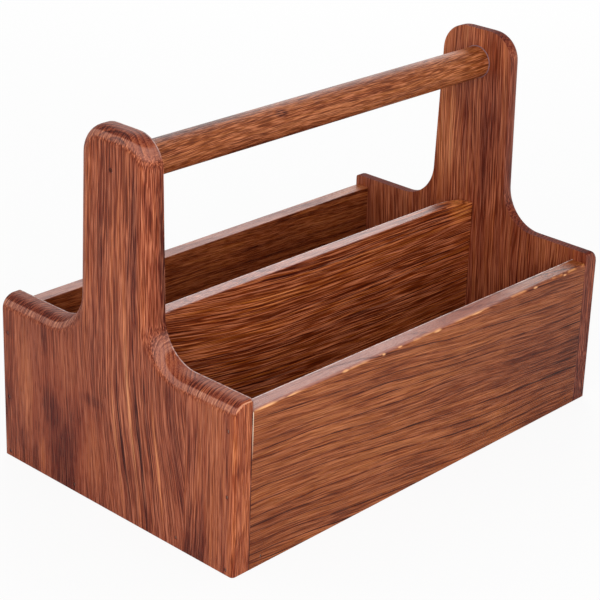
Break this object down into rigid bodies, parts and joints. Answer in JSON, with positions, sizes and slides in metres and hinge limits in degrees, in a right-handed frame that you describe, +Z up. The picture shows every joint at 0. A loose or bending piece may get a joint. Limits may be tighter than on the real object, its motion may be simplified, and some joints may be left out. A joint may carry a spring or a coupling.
{
  "type": "condiment caddy",
  "caption": "Open hardwood carrying caddy for bottles and jars: raised end panels joined by a round handle, low side boards and a long divider between two compartments.",
  "frame": {"origin": "on the surface it stands on, under the middle of the caddy", "axes": "+X along the handle and the compartments, +Y from the front board to the back board, +Z up"},
  "size_m": [0.3, 0.181, 0.213],
  "materials": {
    "oiled_oak": "satin oil on stained oak",
    "brad_steel": "drawn flat wire"
  },
  "bodies": {
    "root": {"end_panel_left": "oiled_oak", "end_panel_right": "oiled_oak", "front_panel": "oiled_oak", "back_panel": "oiled_oak", "divider": "oiled_oak", "bottom_board": "oiled_oak", "handle_bar": "oiled_oak", "brads_left_end": "brad_steel", "brads_right_end": "brad_steel", "brads_front": "brad_steel", "brads_back": "brad_steel", "brads_handle": "brad_steel"}
  },
  "joints": []
}
